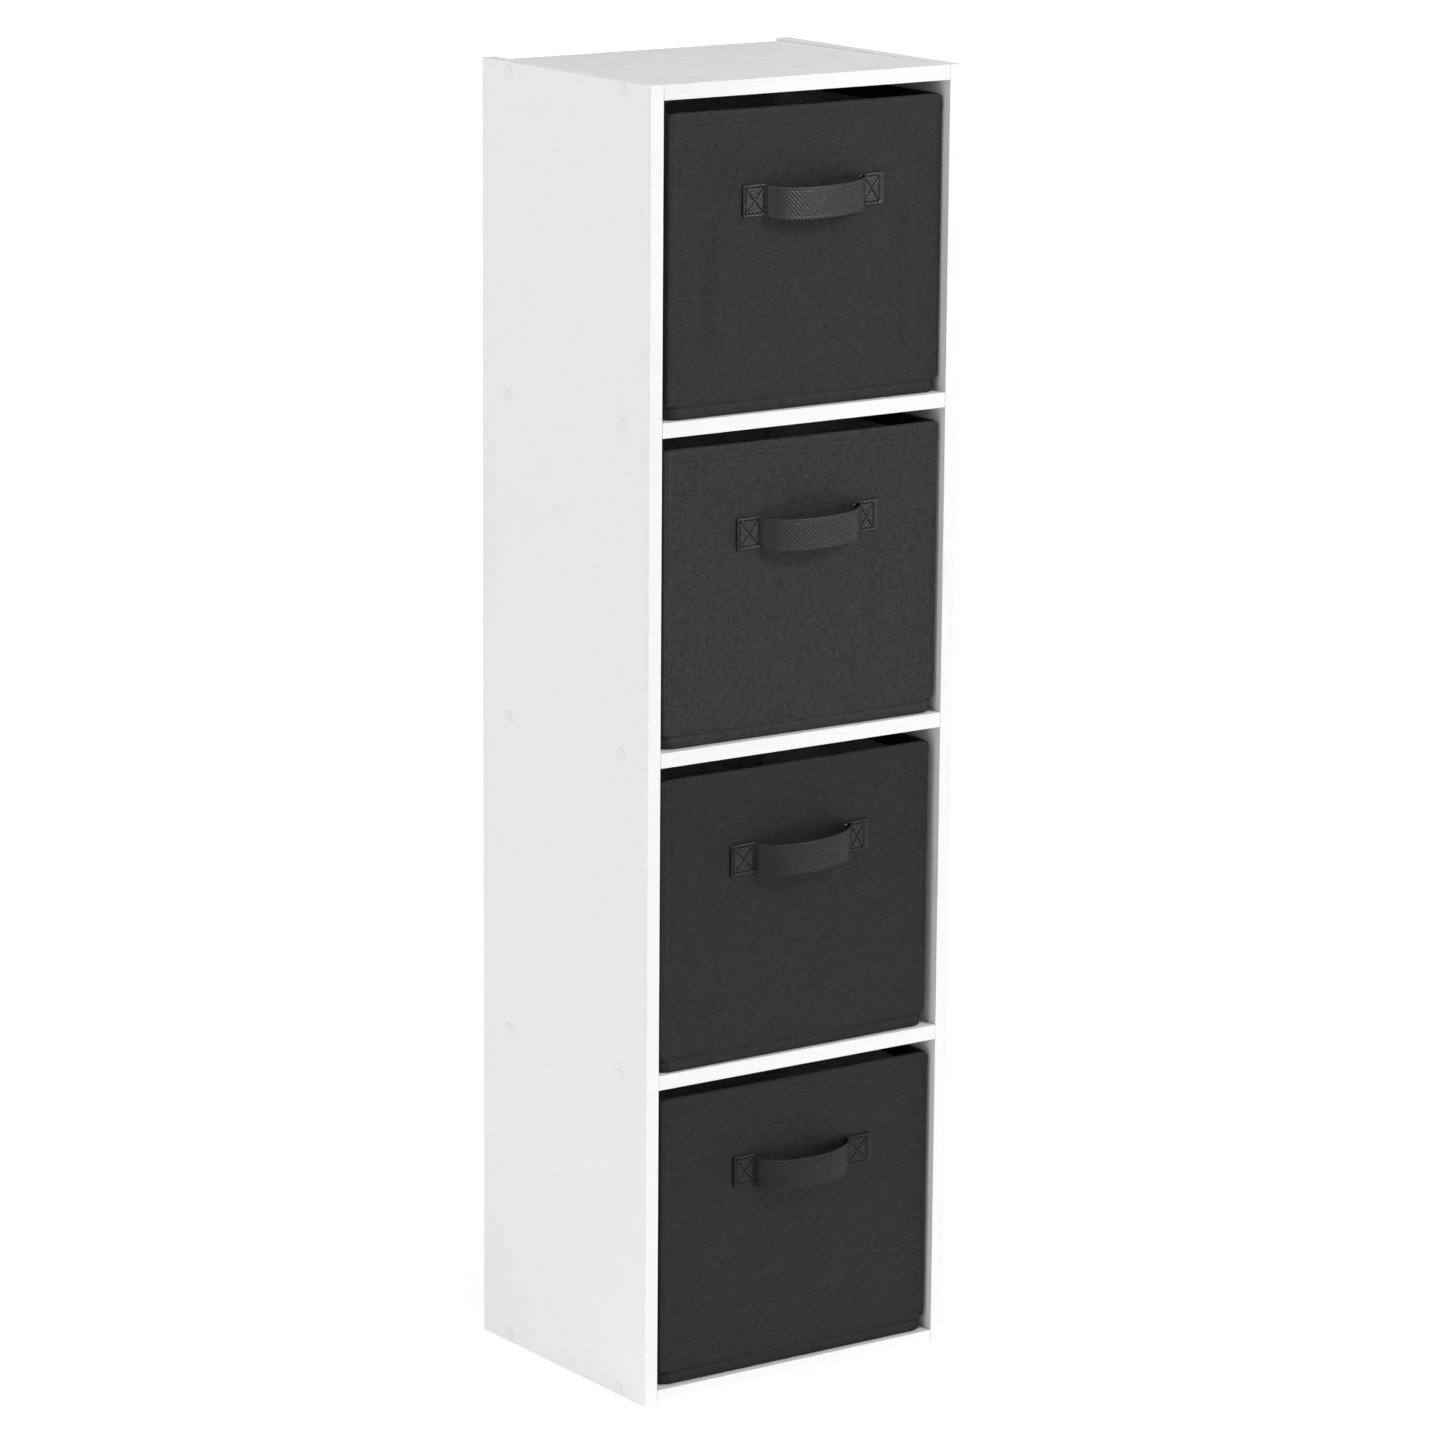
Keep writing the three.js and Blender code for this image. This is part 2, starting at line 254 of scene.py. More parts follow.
def ripples(a, b, seed, wavelength, count=14):
    """Smooth noise of about unit size over a plane, made of waves in random directions."""
    draw = np.random.default_rng(seed)
    total = 0
    for _ in range(count):
        heading, phase = draw.uniform(0, 2 * math.pi, 2)
        pitch = 2 * math.pi / (wavelength * draw.uniform(0.7, 1.5))
        total = total + np.sin(pitch * (a * math.cos(heading) + b * math.sin(heading)) + phase)
    return total / math.sqrt(count / 2)


def bell(distance, width):
    """A smooth bump: 1 at distance 0, and down to 0.37 at width."""
    return np.exp(-((distance / width) ** 2))


def distance_to(points, a, b):
    """Distance from each point (a, b) to a line through the points given."""
    nearest = np.full(np.broadcast(a, b).shape, math.inf)
    for (a0, b0), (a1, b1) in zip(points, points[1:]):
        run, climb = a1 - a0, b1 - b0
        share = ((a - a0) * run + (b - b0) * climb) / (run * run + climb * climb)
        share = np.clip(share, 0, 1)
        nearest = np.minimum(nearest, np.hypot(a - a0 - share * run, b - b0 - share * climb))
    return nearest


# Materials


class Surface:
    """A material and short ways to add nodes to it."""

    def __init__(self, name, **shader):
        self.material = bpy.data.materials.new(name)
        self.material.use_nodes = True
        self.tree = self.material.node_tree
        self.shader = self.tree.nodes["Principled BSDF"]
        for socket, value in shader.items():
            self.shader.inputs[socket.replace("_", " ")].default_value = value
        self.place = self.add("ShaderNodeTexCoord").outputs["Object"]

    def add(self, kind, inputs=None, **settings):
        node = self.tree.nodes.new(kind)
        for setting, value in settings.items():
            setattr(node, setting, value)
        for socket, value in (inputs or {}).items():
            self.feed(node.inputs[socket], value)
        return node

    def feed(self, socket, value):
        if isinstance(value, bpy.types.NodeSocket):
            self.tree.links.new(value, socket)
        else:
            socket.default_value = value

    def math(self, operation, *values):
        node = self.add("ShaderNodeMath", operation=operation)
        for socket, value in zip(node.inputs, values):
            self.feed(socket, value)
        return node.outputs[0]

    def noise(self, size, seed=0.0, detail=3.0, place=None):
        """Noise whose features are about size metres across."""
        inputs = {"Vector": place or self.place, "W": seed, "Scale": 1 / size, "Detail": detail}
        return self.add("ShaderNodeTexNoise", inputs, noise_dimensions="4D").outputs["Fac"]

    def spread(self, value, low, high, to_low=0.0, to_high=1.0):
        """value mapped from low..high to to_low..to_high, and held there beyond them."""
        inputs = {"Value": value, "From Min": low, "From Max": high}
        inputs |= {"To Min": to_low, "To Max": to_high}
        return self.add("ShaderNodeMapRange", inputs).outputs["Result"]

    def blend(self, share, first, second):
        node = self.add("ShaderNodeMix", data_type="RGBA")
        colours = [s for s in node.inputs if s.type == "RGBA"]
        self.feed(node.inputs["Factor"], share)
        self.feed(colours[0], first)
        self.feed(colours[1], second)
        return next(s for s in node.outputs if s.type == "RGBA")

    def colour(self, value):
        self.feed(self.shader.inputs["Base Color"], value)

    def roughness(self, value):
        self.feed(self.shader.inputs["Roughness"], value)

    def bump(self, height, distance, strength=1.0):
        inputs = {"Height": height, "Distance": distance, "Strength": strength}
        bump = self.add("ShaderNodeBump", inputs)
        self.feed(self.shader.inputs["Normal"], bump.outputs["Normal"])

    def stretched(self, place, scale):
        return self.add("ShaderNodeMapping", {"Vector": place, "Scale": scale}).outputs["Vector"]

    def split(self, place):
        """A place's x, y and z."""
        parts = self.add("ShaderNodeSeparateXYZ", {"Vector": place})
        return parts.outputs["X"], parts.outputs["Y"], parts.outputs["Z"]

    def weave_place(self):
        """The place on the cloth, and its distances along and across, in metres."""
        cloth = self.add("ShaderNodeUVMap", uv_map="weave").outputs["UV"]
        along, across, _ = self.split(cloth)
        return cloth, along, across

    def wave(self, place, period):
        """A sine wave along place, from 0 to 1."""
        angle = self.math("MULTIPLY", place, 2 * math.pi / period)
        return self.math("MULTIPLY_ADD", self.math("SINE", angle), 0.5, 0.5)


def rgb(red, green, blue):
    return (red, green, blue, 1.0)


def tinted(colour, tone):
    return rgb(*(c * tone for c in colour))


def shades_of(colour, contrast, tone=1.0):
    """The dark and the light shade of a cloth."""
    return [tinted(colour, share * tone) for share in contrast]


def melamine(name, seed):
    """White melamine with a fine pearl, and the joint of the edging along the front edge."""
    white = Surface(name, Roughness=0.38, Specular_IOR_Level=0.4)
    tone = white.noise(0.12, seed, 4.0)
    speck = white.noise(0.0009, seed + 3, 2.0)
    mixed = white.math("MULTIPLY_ADD", speck, 0.25, tone)
    shade = white.spread(mixed, 0.35, 0.95)
    colour = white.blend(shade, rgb(0.872, 0.862, 0.843), rgb(0.890, 0.882, 0.864))
    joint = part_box("side_panel_left")[0].y + EDGING_THICKNESS
    _, back, _ = white.split(white.place)
    from_joint = white.math("ABSOLUTE", white.math("SUBTRACT", back, joint))
    line = white.spread(from_joint, *EDGING_JOINT, 0.35, 0.0)
    white.colour(white.blend(line, colour, rgb(0.62, 0.61, 0.59)))
    white.roughness(white.spread(white.noise(0.02, seed + 7), 0.3, 0.7, 0.33, 0.45))
    pearl = white.math("MULTIPLY_ADD", white.noise(0.006, seed + 5, 1.0), 0.6, speck)
    white.bump(pearl, 0.00006, 0.5)
    return white.material


def paler_bands_with_seam_highlight(fabric, half, top):
    """How much paler a bin's cloth is painted over its base band and its hem, with a painted
    highlight on the seam ridge by its left edge.
    """
    across, _, up = fabric.split(fabric.place)
    base = fabric.spread(up, BASE_BAND * MM, (BASE_BAND + 0.8) * MM, PALER_BAND, 0.0)
    hem_edge = top - HEM_DEPTH
    hem = fabric.spread(up, (hem_edge - 0.5) * MM, hem_edge * MM, 0.0, PALER_HEM)
    from_seam = fabric.math("ABSOLUTE", fabric.math("ADD", across, (half - SEAM_INSET) * MM))
    seam_highlight = fabric.spread(from_seam, *SEAM_FADE, SEAM_HIGHLIGHT, 0.0)
    return fabric.math("ADD", fabric.math("MAXIMUM", base, hem), seam_highlight)


def cloth(name, seed, shades, pitch, height, pale=None, **shader):
    """Woven-look cloth: small diamonds between two sets of diagonal ribs, and fibres.

    pale gives the half width and the height of a bin whose band and hem are painted paler and whose
    left seam gets a painted highlight.
    """
    fabric = Surface(name, Specular_IOR_Level=0.25, **shader)
    place, along, up = fabric.weave_place()
    wander = fabric.math("MULTIPLY", fabric.noise(0.006, seed + 2, 1.0, place), pitch * 0.5)
    falling = fabric.math("ADD", fabric.math("ADD", along, up), wander)
    rising = fabric.math("SUBTRACT", fabric.math("SUBTRACT", along, up), wander)
    ribs = fabric.math("MULTIPLY", fabric.wave(falling, pitch), fabric.wave(rising, pitch))
    fibre = fabric.noise(pitch * 0.22, seed + 4, 2.0, place)
    slubs = [
        fabric.noise(0.0019, seed + 6 + k, 2.0, fabric.stretched(place, scale))
        for k, scale in enumerate(((0.33, 1.0, 1.0), (1.0, 0.33, 1.0)))
    ]
    slub = fabric.math("ADD", *slubs)
    relief = fabric.math("MULTIPLY_ADD", fibre, 0.45, ribs)
    relief = fabric.math("MULTIPLY_ADD", slub, SLUB_RELIEF, relief)
    blotch = fabric.math("ADD", fabric.noise(0.028, seed, 3.0), fabric.noise(0.009, seed + 1, 2.0))
    speck = fabric.noise(0.0021, seed + 9, 1.0, place)
    tone = fabric.math("MULTIPLY_ADD", blotch, 0.10, fabric.math("MULTIPLY_ADD", ribs, 0.25, slub))
    tone = fabric.math("ADD", tone, speck)
    # Paler band and hem, and the painted highlight along the left seam.
    if pale:
        tone = fabric.math("ADD", tone, paler_bands_with_seam_highlight(fabric, *pale))
    fabric.colour(fabric.blend(fabric.spread(tone, 1.35, 2.00), *shades))
    fabric.bump(relief, height, 0.9)
    return fabric.material


def webbing_cloth(name, seed, shades, sheen):
    """Twill tape. Its ribs are in the mesh; this adds the yarns and their sheen."""
    tape = Surface(name, Specular_IOR_Level=sheen)
    place, along, across = tape.weave_place()
    yarn = tape.wave(across, 0.0008)
    fibre = tape.noise(0.00035, seed, 2.0, place)
    mottle = tape.noise(0.004, seed + 3, 2.0, place)
    diagonal = tape.math("MULTIPLY_ADD", across, TWILL_SLOPE, along)
    rib = tape.wave(diagonal, TWILL_PERIOD * MM)
    tone = tape.math("MULTIPLY_ADD", fibre, 0.4, tape.math("MULTIPLY_ADD", mottle, 0.4, rib))
    # The rib's light and dark shades are partly a painted glint of the twill.
    tape.colour(tape.blend(tape.spread(tone, 0.45, 1.35), *shades))
    gloss = tape.math("MULTIPLY_ADD", fibre, 0.5, rib)
    tape.roughness(tape.spread(gloss, 0.2, 1.3, 0.56, 0.20))
    tape.bump(tape.math("MULTIPLY_ADD", fibre, 0.5, yarn), 0.00008, 0.8)
    return tape.material


def thread_cloth(name, colour):
    """Twisted sewing thread."""
    thread = Surface(name, Roughness=0.55, Specular_IOR_Level=0.4)
    twist = thread.noise(0.0004, 2.0, 2.0)
    shade = thread.spread(twist, 0.3, 0.7)
    thread.colour(thread.blend(shade, tinted(colour, 0.7), tinted(colour, 1.2)))
    thread.bump(twist, 0.0001, 0.8)
    return thread.material


def card(name, seed):
    """Grey board with pale and dark fibres."""
    board = Surface(name, Roughness=0.9, Specular_IOR_Level=0.2)
    fibre = board.noise(0.0015, seed, 5.0)
    pulp = board.noise(0.012, seed + 1, 3.0)
    shade = board.spread(board.math("MULTIPLY_ADD", fibre, 0.7, pulp), 0.55, 1.15)
    board.colour(board.blend(shade, rgb(0.27, 0.235, 0.19), rgb(0.42, 0.38, 0.32)))
    board.bump(fibre, 0.0001, 0.6)
    return board.material


def zinc(name):
    """Bright zinc plate, faintly blue and yellow, with turning marks."""
    plate = Surface(name, Metallic=1.0)
    marks = plate.noise(0.0012, 1.0, 4.0, plate.stretched(plate.place, (6.0, 1.0, 1.0)))
    shade = plate.noise(0.004, 4.0, 2.0)
    shade = plate.spread(shade, 0.35, 0.65)
    plate.colour(plate.blend(shade, rgb(0.66, 0.68, 0.72), rgb(0.75, 0.73, 0.67)))
    plate.roughness(plate.spread(marks, 0.3, 0.7, 0.22, 0.42))
    plate.bump(marks, 0.00003, 0.6)
    return plate.material


def moulded_white(name):
    """Moulded plastic of the screw covers."""
    plastic = Surface(name, Specular_IOR_Level=0.45, Subsurface_Weight=0.05)
    grain = plastic.noise(0.0006, 3.0, 2.0)
    tone = plastic.noise(0.01, 6.0, 2.0)
    plastic.colour(plastic.blend(tone, rgb(0.868, 0.858, 0.840), rgb(0.886, 0.878, 0.860)))
    plastic.roughness(plastic.spread(grain, 0.3, 0.7, 0.35, 0.5))
    plastic.bump(grain, 0.00003, 0.5)
    return plastic.material


def studio_floor(name):
    """Pale, slightly self-lit paper sweep, which glows less in front of the set."""
    paper = Surface(name, Roughness=0.9, Specular_IOR_Level=0.1)
    paper.shader.inputs["Emission Color"].default_value = rgb(1, 1, 1)
    away = paper.add("ShaderNodeVectorMath", {"Vector": paper.place}, operation="LENGTH")
    glow = paper.spread(away.outputs["Value"], *GLOW_DISTANCES, FLOOR_GLOW, FAR_FLOOR_GLOW)
    _, back, _ = paper.split(paper.place)
    share = paper.spread(back, *FRONT_FLOOR_FADE, FRONT_FLOOR_SHARE, 1.0)
    glow = paper.math("MULTIPLY", glow, share)
    paper.feed(paper.shader.inputs["Emission Strength"], glow)
    tone = paper.noise(0.8, 0.0, 2.0)
    paper.colour(paper.blend(tone, rgb(0.9, 0.9, 0.9), rgb(0.92, 0.92, 0.92)))
    return paper.material


MELAMINE = melamine("white_melamine_edged", 1.0)
ZINC = zinc("zinc_steel")
CARD = card("stiffener_card", 2.0)
# Pale lining cloth, whose pale grey paints light into the gap above each bin.
LINING_CLOTH = cloth(
    "lining_fabric",
    31.0,
    shades_of(LINING_COLOUR_AND_GAP_LIGHT, LINING_CONTRAST),
    LINING_WEAVE,
    LINING_RELIEF,
    Roughness=0.85,
)
THREAD = thread_cloth("charcoal_thread", THREAD_COLOUR)
HEAVY_THREAD = thread_cloth("black_thread", HEAVY_THREAD_COLOUR)
CAP_PLASTIC = moulded_white("white_cap_plastic")


# Bins


class Bin:
    """One bin's frame and the curved surfaces that its layers follow."""

    ALONG = np.array([[1, 0], [0, 1], [-1, 0], [0, -1]], float)
    OUT = np.array([[0, -1], [1, 0], [0, 1], [-1, 0]], float)

    def __init__(self, number):
        self.number = number
        self.name = f"bin_{number}"
        self.seed = 100 * number
        board = self.corners(f"{self.name}_front_stiffener")[:, :2]
        across = np.linalg.svd(board - board.mean(0), full_matrices=False)[2][0]
        across = across * np.sign(across[0])
        back = np.array([-across[1], across[0]])
        cover = self.corners(f"{self.name}_cover")
        wide, deep = cover[:, :2] @ across, cover[:, :2] @ back
        self.width = (wide.max() - wide.min()) / MM
        self.depth = (deep.max() - deep.min()) / MM
        low, high = cover[:, 2].min(), cover[:, 2].max()
        self.height = (high - low) / MM
        origin = across * (wide.max() + wide.min()) / 2 + back * deep.min()
        turn = Matrix.Rotation(math.atan2(across[1], across[0]), 4, "Z")
        self.matrix = Matrix.Translation((origin[0], origin[1], low)) @ turn
        handle = self.corners(f"{self.name}_handle")
        reach = handle[:, :2] @ across / MM
        self.strap_middle = (reach.max() + reach.min()) / 2 - (wide.max() + wide.min()) / 2 / MM
        self.strap_span = reach.max() - reach.min()
        ends = handle[reach > reach.max() - 1][:, 2], handle[reach < reach.min() + 1][:, 2]
        self.strap_height = (np.mean([e.mean() for e in ends]) - low) / MM

    @staticmethod
    def corners(node):
        return np.array([v.co for v in NODES[node].data.vertices])

    def halves(self, side):
        """Half the length of a wall, and its distance from the bin's middle."""
        even = np.asarray(side) % 2 == 0
        along = np.where(even, self.width / 2, self.depth / 2)
        out = np.where(even, self.depth / 2, self.width / 2)
        return along, out

    def corner_radius(self, z):
        share = smoothstep(*CORNER_CHANGE, z)
        return BASE_CORNER_RADIUS + (CORNER_RADIUS - BASE_CORNER_RADIUS) * share

    def columns(self, spacing, arc_steps):
        """Side, share of the straight part from -1 to 1, and share of the corner, per column."""
        found = []
        for side in range(4):
            half = self.halves(side)[0] - CORNER_RADIUS
            middle = half - EDGE_COLUMNS[-1]
            count = 2 * round(middle / spacing)
            inner = np.linspace(-1, 1, count + 1)[1:-1] * middle
            edge = half - EDGE_COLUMNS
            places = np.concatenate([-edge, inner, edge[::-1]]) / half
            found += [(side, place, 0.0) for place in places]
            found += [(side, 1.0, step / arc_steps) for step in range(1, arc_steps)]
        side, share, turn = np.array(found).T
        return side.astype(int), share, turn

    def warp(self, side, a, z):
        """How far the wall stands out from flat."""
        half = self.halves(side)[0]
        # The swell dies out towards the corners, the base and the hem.
        inside = smoothstep(0, 34, half - 6 - np.abs(a))
        inside = inside * smoothstep(10, 46, z) * smoothstep(0, 34, self.height - HEM_DEPTH - z)
        total = np.zeros(np.broadcast(side, a, z).shape)
        for wall in range(4):
            seed = self.seed + wall
            swell = 0.22 * ripples(a, z, seed, 150) + 0.10 * ripples(a, z, seed + 10, 52)
            if wall == 0:
                for points, width, height in CREASES[self.number - 1]:
                    swell = swell + height * bell(distance_to(points, a, z), width)
                swell = np.clip(swell, *SWELL_LIMITS)
            else:
                swell = np.clip(swell - 0.35, *OTHER_SWELL_LIMITS)
            near_hem = bell(z - self.height + HEM_DEPTH + 3, 5)
            near_band = bell(z - BASE_BAND - 5, 5)
            pucker = ripples(a, 0.3 * z, seed + 20, 8.5) * (0.09 * near_hem + 0.10 * near_band)
            seams = self.seams(half - np.abs(a), np.sign(a))
            total = np.where(side == wall, swell * inside + pucker + seams, total)
        return total

    @staticmethod
    def seams(from_edge, end):
        """The sewn corner: a fine ridge by one edge of a wall and a groove by the other."""
        ridge = SEAM_RIDGE * bell(from_edge - SEAM_INSET, 0.7)
        groove = SEAM_GROOVE * bell(from_edge - SEAM_INSET, 0.9)
        return np.where(end < 0, ridge, groove)

    def skin(self, side, share, turn, t, z, warped=1.0):
        """Points t in from the outline at height z, with the normals there in plan."""
        along_half, out_half = self.halves(side)
        radius = np.maximum(self.corner_radius(z) - t, INNER_CORNER_RADIUS)
        reach = along_half - t - radius
        angle = turn * math.pi / 2
        a = share * reach
        straight = turn == 0
        push = np.where(straight, self.warp(side, a, z), 0) * warped
        from_corner = np.maximum((1 - np.abs(share)) * reach, 0)
        drop, length = self.corner_drop(side, share)
        dip = drop * bell(from_corner, length) * smoothstep(self.height - 22, self.height, z)
        sag = RIM_SAG * smoothstep(self.height - 40, self.height, z)
        dip = dip + sag * np.cos(share * math.pi / 2)
        along = a + radius * np.sin(angle)
        out = out_half - t - radius + radius * np.cos(angle) + push
        e, n = self.ALONG[side], self.OUT[side]
        x = along * e[..., 0] + out * n[..., 0]
        y = along * e[..., 1] + out * n[..., 1] + self.depth / 2
        normal_x = np.cos(angle) * n[..., 0] + np.sin(angle) * e[..., 0]
        normal_y = np.cos(angle) * n[..., 1] + np.sin(angle) * e[..., 1]
        shape = np.broadcast(x, z).shape
        points = np.stack([x, y, np.broadcast_to(z - dip, shape)], -1)
        normals = np.stack([normal_x, normal_y, np.zeros_like(normal_x)], -1)
        return points, np.broadcast_to(normals, points.shape)

    @staticmethod
    def corner_drop(side, share):
        """How far the rim drops at the nearer corner, and over what length of wall."""
        corner = np.where(share > 0, side, side - 1) % 4
        slumped = corner % 2 == 0
        drop = np.where(slumped, RIM_DIP[1], RIM_DIP[0])
        return drop, np.where(slumped, RIM_DIP_LENGTH[1], RIM_DIP_LENGTH[0])

    def cover_profile(self):
        """The cover's outer surface from its floor, up the wall, over the rim and down inside."""
        top = self.height
        floor = [(30, 0.1), (12, 0.1), (5, 0.1), (2.2, 0.1)]
        round_edge = np.radians([15, 40, 65])
        edge = [(1.5 - 1.5 * math.sin(a), 1.6 - 1.5 * math.cos(a)) for a in round_edge]
        band = [(0, 1.7), (-0.06, 3), (-0.1, 4.5), (-0.06, 6), (0, 7), (0.1, 7.6)]
        step = [(0.3, 8.1), (0.52, 8.5), (0.62, 8.9), (0.56, 9.3), (0.48, 9.8)]
        low_wall = [(WALL_SKIN, z) for z in (10.5, 11.5, 12.7, 14, 15.5, 17.5, 20)]
        wall = [(WALL_SKIN, z) for z in np.linspace(23, top - 26, 52)]
        high_wall = [(WALL_SKIN, top - drop) for drop in (23, 20, 17.5, 15.5, 14.3, 13.4)]
        hem = [(0.34, 12.9), (0.2, 12.4), (HEM_SKIN, 11.9)]
        groove = ((0.04, 0.6), (0.15, 0.25), (0.18, 0), (0.15, -0.25), (0.04, -0.6))
        swell = ((-0.08, -1.3), (-0.1, -2.1))
        for row in HEM_ROWS[::-1]:
            hem += [(HEM_SKIN + t, row + drop) for t, drop in groove + swell]
        hem = [(t, top - drop) for t, drop in hem]
        roll = [
            (HEM_SKIN + RIM_RADIUS * (1 - math.cos(a)), top - RIM_RADIUS * (1 - math.sin(a)))
            for a in np.radians(np.linspace(0, 180, 13))
        ]
        inner = HEM_SKIN + 2 * RIM_RADIUS
        inside = [(inner - 0.04, top - drop) for drop in (4, 5.5, 6.6, 7, 7.4, 9, 11, 12.5)]
        below = floor + edge + band + step
        return np.array(below + low_wall + wall + high_wall + hem + roll + inside)

    def loop_surface(self, profile, columns, warped=1.0):
        """Points of a profile carried round the outline, and the distances along the cloth."""
        side, share, turn = columns
        t, z = profile[:, :1], profile[:, 1:]
        points, _ = self.skin(side[None], share[None], turn[None], t, z, warped)
        middle = len(profile) // 2
        ring = points[middle][:, :2]
        steps = np.linalg.norm(np.roll(ring, -1, axis=0) - ring, axis=1)
        u = np.concatenate([[0], np.cumsum(steps)])
        v = np.concatenate([[0], np.cumsum(np.hypot(*np.diff(profile, axis=0).T))])
        return points, np.broadcast_to(u, (len(profile), len(u))), np.repeat(v[:, None], len(u), 1)

    def own(self, thing, body=None, slot=None, replaces=()):
        """Put a piece in the bin's place, on the bin's body unless another is named."""
        thing.matrix_world = self.matrix
        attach(thing, body or self.name)
        if replaces:
            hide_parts(*replaces)


def solidify(thing, thickness):
    shell = thing.modifiers.new("thickness", "SOLIDIFY")
    shell.thickness = thickness * MM
    shell.offset = -1
    shell.use_even_offset = True


def make_cover(item, material):
    points, u, v = item.loop_surface(item.cover_profile(), item.columns(4.0, 8))
    faces = tube_faces(*points.shape[:2])[:-1]  # closed under the floor, open inside the rim
    uv = np.concatenate([grid_uv(u, v), points[0][::-1, :2]])
    cover = mesh_object(f"{item.name}_cover_cloth", points.reshape(-1, 3), faces, material, uv)
    solidify(cover, FABRIC)
    item.own(cover, slot="charcoal_fabric", replaces=[f"{item.name}_cover"])


def make_lining(item):
    """A sleeve seen from inside the bin, so its rows run downwards."""
    heights = np.concatenate([np.linspace(item.height - 5, 16, 44), np.linspace(14, 1.6, 9)])
    profile = np.stack([np.full(len(heights), LINING_SKIN + LINING), heights], 1)
    points, u, v = item.loop_surface(profile, item.columns(5.0, 6))
    faces = grid_faces(*points.shape[:2], True)
    name = f"{item.name}_lining_cloth"
    lining = mesh_object(name, points.reshape(-1, 3), faces, LINING_CLOTH, grid_uv(u, v))
    solidify(lining, LINING)
    item.own(lining, slot="lining_fabric", replaces=[f"{item.name}_lining"])


def make_stiffeners(item):
    for side, label in enumerate(("front", "right", "back", "left")):
        share = np.linspace(-1, 1, 50)
        z = np.concatenate([np.linspace(2, 16, 8), np.linspace(20, item.height - 5, 46)])[:, None]
        straight = np.zeros((1, len(share)))
        outer, inner = (
            item.skin(np.full((1, len(share)), side), share[None] * 0.995, straight, t, z)[0]
            for t in (STIFFENER_FROM, STIFFENER_TO)
        )
        ring = np.concatenate([outer, inner[:, ::-1]], axis=1)
        faces = tube_faces(*ring.shape[:2])
        node = f"{item.name}_{label}_stiffener"
        board = mesh_object(f"{node}_board", ring.reshape(-1, 3), faces, CARD, smooth=False)
        item.own(board, slot="stiffener_card", replaces=[node])


def make_base_board(item):
    """Board wrapped in lining cloth: rounded edges, slightly pillowed faces."""
    below = [(60, 1.32), (20, 1.32), (7.2, 1.35), (6.3, 1.55), (5.85, 1.95)]
    edge = [(BASE_BOARD_EDGE, 2.5), (BASE_BOARD_EDGE, 3.2)]
    above = [(5.85, 3.7), (6.3, 4.05), (7.2, 4.2), (12, 4.3), (30, 4.32), (60, 4.3), (90, 4.3)]
    points, _, _ = item.loop_surface(np.array(below + edge + above), item.columns(6.0, 10), 0.0)
    faces = tube_faces(*points.shape[:2])
    flat = points[:, :, :2]
    flat = np.concatenate([flat, flat[:, :1]], axis=1)
    uv = np.concatenate([grid_uv(flat[..., 0], flat[..., 1]), flat[0, :-1][::-1], flat[-1, :-1]])
    name = f"{item.name}_base_board_wrapped"
    board = mesh_object(name, points.reshape(-1, 3), faces, LINING_CLOTH, uv)
    body = f"base_board_{item.number}"
    item.own(board, body, "base_card", [f"{item.name}_base_board"])


# Stitches


def thread_template():
    """A short fat capsule along x, as points and faces."""
    around = np.linspace(0, 2 * math.pi, THREAD_SIDES + 1)[:-1]
    rings = [(-0.38, 0.75), (0.0, 1.0), (0.38, 0.75)]
    points = [(-0.5, 0, 0)]
    for x, size in rings:
        points += [(x, size * math.cos(a), size * math.sin(a)) for a in around]
    points.append((0.5, 0, 0))
    tip, last = len(points) - 1, len(points) - 1 - THREAD_SIDES
    beside = [(k, (k + 1) % THREAD_SIDES) for k in range(THREAD_SIDES)]
    faces = [(0, 1 + following, 1 + k) for k, following in beside]
    faces += (grid_faces(len(rings), THREAD_SIDES, True) + 1).tolist()
    faces += [(tip, last + k, last + following) for k, following in beside]
    return np.array(points), faces


def stitches_along(path, normals, pitch=STITCH_PITCH, length=STITCH_LENGTH, closed=False):
    """Start, end and normal of each stitch along a path."""
    if closed:
        path = np.concatenate([path, path[:1]])
        normals = np.concatenate([normals, normals[:1]])
    run = np.concatenate([[0], np.cumsum(np.linalg.norm(np.diff(path, axis=0), axis=1))])
    count = max(1, round(run[-1] / pitch))
    middles = (np.arange(count) + 0.5) * run[-1] / count
    length = min(length, 0.85 * run[-1] / count)

    def at(distance):
        return np.stack([np.interp(distance, run, path[:, k]) for k in range(3)], -1)

    start, end = at(middles - length / 2), at(middles + length / 2)
    outward = np.stack([np.interp(middles, run, normals[:, k]) for k in range(3)], -1)
    return list(zip(start, end, outward))


def make_stitching(name, stitches, item, radius, material):
    template, faces = thread_template()
    points, all_faces = [], []
    for index, (start, end, outward) in enumerate(stitches):
        ahead = end - start
        length = np.linalg.norm(ahead)
        ahead = ahead / length
        outward = outward - ahead * (outward @ ahead)
        outward = outward / np.linalg.norm(outward)
        beside = np.cross(outward, ahead)
        bow = (1 - (2 * template[:, 0]) ** 2) * 0.25 * radius
        local = (
            (start + end) / 2
            + np.outer(template[:, 0] * length, ahead)
            + np.outer(template[:, 1] * radius * 1.15, beside)
            + np.outer(template[:, 2] * radius + bow, outward)
        )
        points.append(local)
        offset = index * len(template)
        all_faces += [[corner + offset for corner in face] for face in faces]
    threads = mesh_object(name, np.concatenate(points), all_faces, material)
    item.own(threads, slot="charcoal_fabric")


